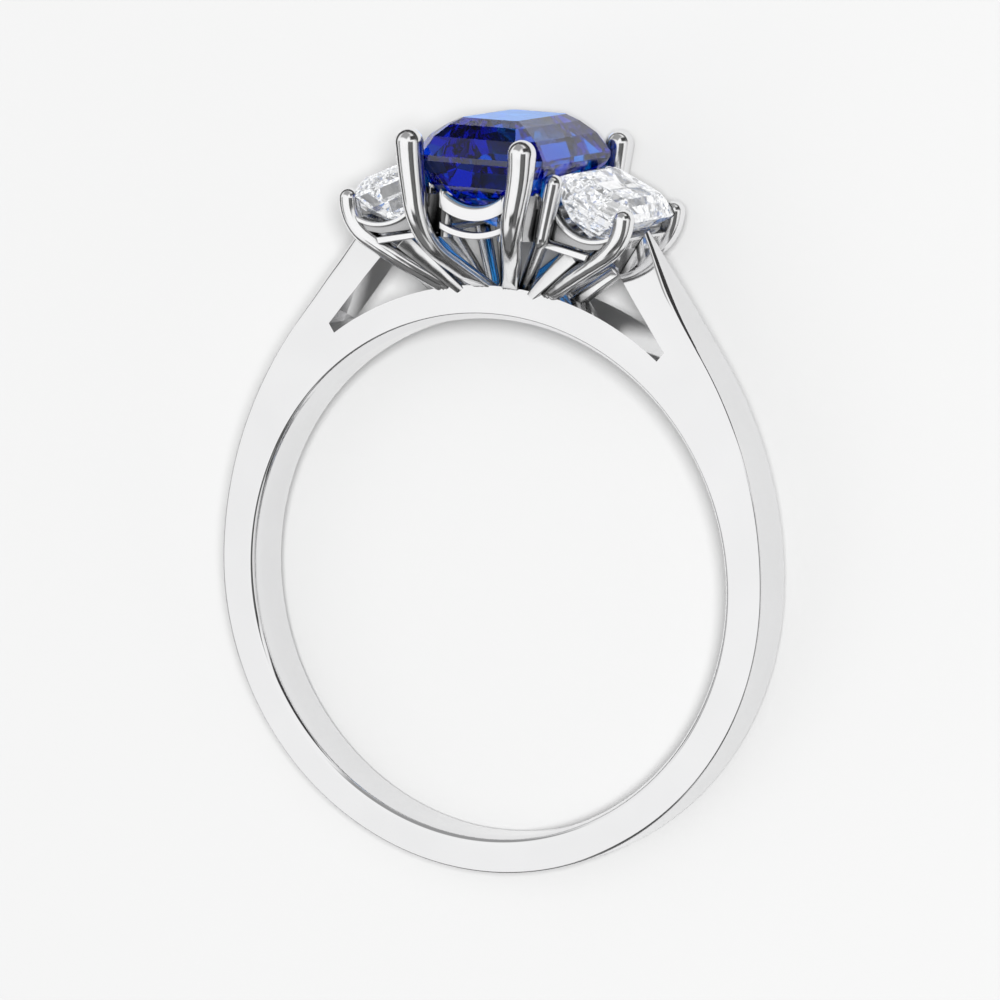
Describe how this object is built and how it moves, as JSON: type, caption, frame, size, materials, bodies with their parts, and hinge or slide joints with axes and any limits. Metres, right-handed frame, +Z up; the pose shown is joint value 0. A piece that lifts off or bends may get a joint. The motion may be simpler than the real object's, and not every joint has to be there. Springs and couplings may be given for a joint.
{
  "type": "three stone ring",
  "caption": "Finger ring with cathedral shoulders, an emerald-cut blue centre stone in claws and an emerald-cut clear stone on each side; lies on its side.",
  "frame": {"origin": "middle of the part's box in X and Y, on the surface that the ring lies on", "axes": "+Y from the palm side of the band to the stones, +X across the hand, +Z up from the surface; the finger's axis leans 7.6 degrees from +Z towards -Y"},
  "size_m": [0.0192, 0.0244, 0.0078],
  "materials": {
    "white_metal": "high polish",
    "blue_sapphire": "polished facets",
    "clear_diamond": "polished facets"
  },
  "bodies": {
    "root": {"ring_mount": "white_metal", "centre_sapphire": "blue_sapphire", "side_diamond_left": "clear_diamond", "side_diamond_right": "clear_diamond"}
  },
  "joints": []
}
